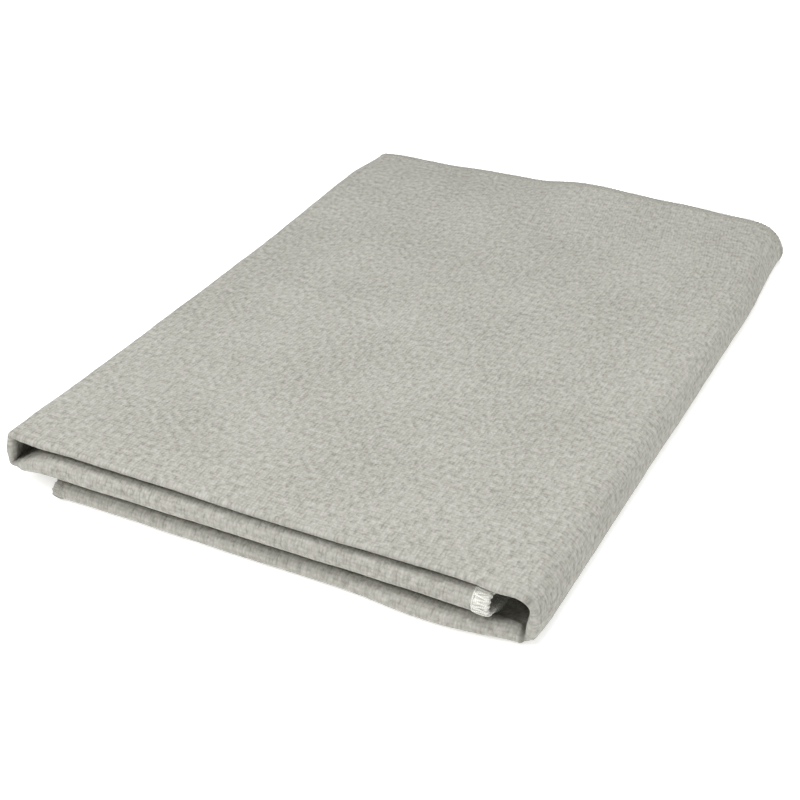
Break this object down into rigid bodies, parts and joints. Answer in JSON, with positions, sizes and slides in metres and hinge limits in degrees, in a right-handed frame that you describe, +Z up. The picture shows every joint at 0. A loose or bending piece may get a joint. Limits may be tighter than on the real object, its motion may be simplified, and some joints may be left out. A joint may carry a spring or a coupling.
{
  "type": "fire blanket",
  "caption": "Heavy coated glass-cloth welding and fire blanket, doubled and folded in three across its width into a flat pad; its top leaves open over the right fold.",
  "frame": {"origin": "on the surface it lies on, under the centre of the folded blanket's outline", "axes": "+X across the folds towards the right fold, +Y back from the looped front edge, +Z up"},
  "size_m": [0.338, 0.482, 0.032],
  "materials": {
    "coated_glass_cloth": "coarse plain-woven texturised glass cloth with a matte warm-grey coating",
    "grey_edge_thread": "grey overlock thread close to the cloth's own colour",
    "white_overlock_thread": "off-white overlock thread with a slight sheen"
  },
  "bodies": {
    "bottom_leaf": {"bottom_leaf_end_seam_front": "grey_edge_thread", "bottom_leaf_end_seam_lower": "grey_edge_thread", "bottom_leaf_end_seam_upper": "grey_edge_thread", "bottom_leaf_front_fold": "coated_glass_cloth", "bottom_leaf_lower_ply": "coated_glass_cloth", "bottom_leaf_lower_ply_back_seam": "grey_edge_thread", "bottom_leaf_upper_ply": "coated_glass_cloth", "bottom_leaf_upper_ply_back_seam": "grey_edge_thread", "right_fold_lower_crease": "coated_glass_cloth"},
    "right_fold_wall": {"right_fold_front_edge": "coated_glass_cloth", "right_fold_inner_ply": "coated_glass_cloth", "right_fold_inner_ply_back_seam": "grey_edge_thread", "right_fold_outer_ply": "coated_glass_cloth", "right_fold_outer_ply_back_seam": "grey_edge_thread"},
    "top_and_middle_leaves": {"left_fold_front_edge": "coated_glass_cloth", "left_fold_inner_ply": "coated_glass_cloth", "left_fold_inner_ply_back_seam": "grey_edge_thread", "left_fold_lower_crease": "coated_glass_cloth", "left_fold_outer_ply": "coated_glass_cloth", "left_fold_outer_ply_back_seam": "grey_edge_thread", "left_fold_upper_crease": "coated_glass_cloth", "middle_leaf_front_fold": "coated_glass_cloth", "middle_leaf_lower_ply": "coated_glass_cloth", "middle_leaf_lower_ply_back_seam": "grey_edge_thread", "middle_leaf_overlock_front": "white_overlock_thread", "middle_leaf_overlock_lower": "white_overlock_thread", "middle_leaf_overlock_upper": "white_overlock_thread", "middle_leaf_upper_ply": "coated_glass_cloth", "middle_leaf_upper_ply_back_seam": "grey_edge_thread", "right_fold_upper_crease": "coated_glass_cloth", "top_leaf_front_fold": "coated_glass_cloth", "top_leaf_lower_ply": "coated_glass_cloth", "top_leaf_lower_ply_back_seam": "grey_edge_thread", "top_leaf_upper_ply": "coated_glass_cloth", "top_leaf_upper_ply_back_seam": "grey_edge_thread"}
  },
  "joints": [
    {"name": "right_fold_lower_crease_opens", "type": "hinge", "parent": "bottom_leaf", "child": "right_fold_wall", "pos_m": [0.169, 0, 0], "axis": [0, 1, 0], "range_deg": [0, 90]},
    {"name": "right_fold_upper_crease_opens", "type": "hinge", "parent": "right_fold_wall", "child": "top_and_middle_leaves", "pos_m": [0.169, 0, 0.032], "axis": [0, 1, 0], "range_deg": [0, 90]}
  ]
}
